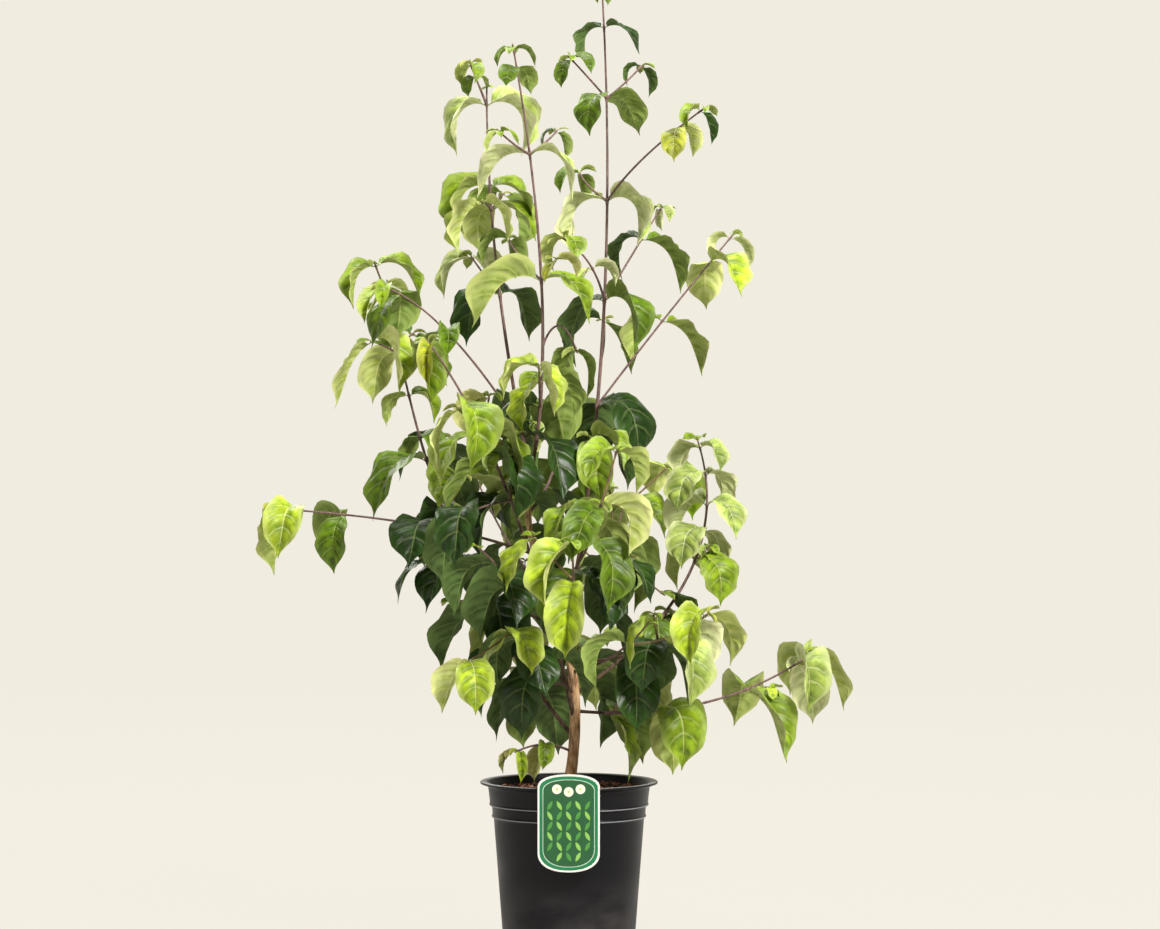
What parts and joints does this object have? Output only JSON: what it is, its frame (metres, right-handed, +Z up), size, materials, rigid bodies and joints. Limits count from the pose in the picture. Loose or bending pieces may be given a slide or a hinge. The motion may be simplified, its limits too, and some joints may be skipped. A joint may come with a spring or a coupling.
{
  "type": "potted chinese dogwood",
  "caption": "Young Chinese dogwood in a round black nursery pot: slim leaning trunk, tall upright leaders, arching side boughs and opposite drooping leaves, with a plant label on the rim.",
  "frame": {"origin": "centre of the pot's flat underside", "axes": "+Z up along the pot's axis, -Y towards the front with the label, +X to the right seen from the front"},
  "size_m": [0.7849, 0.5826, 1.3343],
  "materials": {
    "pot_plastic": "black moulded polypropylene, satin",
    "label_plastic": null,
    "potting_soil": "loose bark compost",
    "bark": "smooth tan to mauve-brown bark",
    "leaves": "satin leaves with sunken arched veins"
  },
  "bodies": {
    "root": {"back_left_bough": "bark", "back_left_foliage": "leaves", "back_low_bough": "bark", "back_low_foliage": "leaves", "back_low_left_bough": "bark", "back_low_left_foliage": "leaves", "back_right_bough": "bark", "back_right_foliage": "leaves", "back_top_bough": "bark", "back_top_foliage": "leaves", "foot_shoot_foliage": "leaves", "front_left_bough": "bark", "front_left_foliage": "leaves", "front_low_bough": "bark", "front_low_foliage": "leaves", "front_right_bough": "bark", "front_right_foliage": "leaves", "label": "label_plastic", "left_arch_bough": "bark", "left_arch_foliage": "leaves", "left_inner_bough": "bark", "left_inner_foliage": "leaves", "left_leader_bough": "bark", "left_leader_foliage": "leaves", "long_left_bough": "bark", "long_left_foliage": "leaves", "low_left_bough": "bark", "low_left_foliage": "leaves", "low_right_bough": "bark", "low_right_foliage": "leaves", "middle_leader_bough": "bark", "middle_leader_foliage": "leaves", "outer_left_bough": "bark", "outer_left_foliage": "leaves", "pot": "pot_plastic", "right_arch_bough": "bark", "right_arch_foliage": "leaves", "right_front_bough": "bark", "right_front_foliage": "leaves", "right_leader_bough": "bark", "right_leader_foliage": "leaves", "right_low_bough": "bark", "right_low_foliage": "leaves", "right_mid_bough": "bark", "right_mid_foliage": "leaves", "soil": "potting_soil", "trunk": "bark"}
  },
  "joints": []
}
